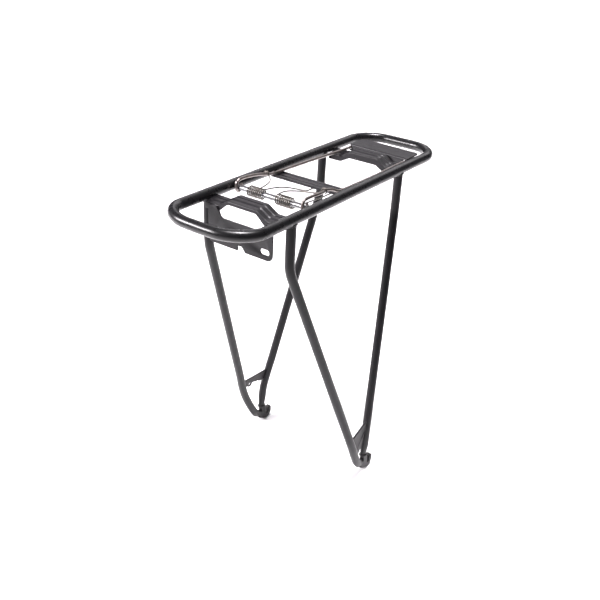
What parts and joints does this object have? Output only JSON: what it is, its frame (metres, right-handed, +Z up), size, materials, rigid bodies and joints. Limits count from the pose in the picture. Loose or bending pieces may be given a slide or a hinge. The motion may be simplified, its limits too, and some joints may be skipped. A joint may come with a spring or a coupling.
{
  "type": "bicycle rear carrier",
  "caption": "Tubular bicycle rear carrier: rounded deck loop on splayed legs, pressed cross members, lamp plate and a spring-loaded wire luggage clamp.",
  "frame": {"origin": "midway between the two lower fixing slots, on the line of their bolts", "axes": "+X to the right of the bicycle, +Y forwards to the saddle, +Z up"},
  "size_m": [0.197, 0.4256, 0.4262],
  "materials": {
    "black_tube": "satin black powder coat on steel tube",
    "black_sheet": "satin black powder coat on pressed sheet",
    "zinc_steel": "bright zinc plating",
    "spring_wire": "drawn spring wire",
    "nickel_wire": "nickel-plated round wire"
  },
  "bodies": {
    "carrier": {"top_loop": "black_tube", "rear_arch": "black_sheet", "front_arch": "black_sheet", "middle_crossbar": "black_sheet", "lamp_plate": "black_sheet", "rear_left_leg": "black_tube", "rear_right_leg": "black_tube", "front_left_leg": "black_tube", "front_right_leg": "black_tube", "left_foot_lug": "black_tube", "right_foot_lug": "black_tube", "left_gusset": "black_sheet", "right_gusset": "black_sheet", "hinge_axle": "zinc_steel", "left_axle_sleeve": "zinc_steel", "centre_axle_sleeve": "zinc_steel", "right_axle_sleeve": "zinc_steel", "left_torsion_spring": "spring_wire", "right_torsion_spring": "spring_wire"},
    "clamp": {"clamp_wire": "nickel_wire", "clamp_plate": "black_sheet"}
  },
  "joints": [
    {"name": "clamp_hinge", "type": "hinge", "parent": "carrier", "child": "clamp", "pos_m": [0, -0.122, 0.405], "axis": [1, 0, 0], "range_deg": [0, 100], "stiffness_Nm_per_rad": 1.5, "springref_deg": -40.11, "deforming": ["left_torsion_spring", "right_torsion_spring"]}
  ]
}
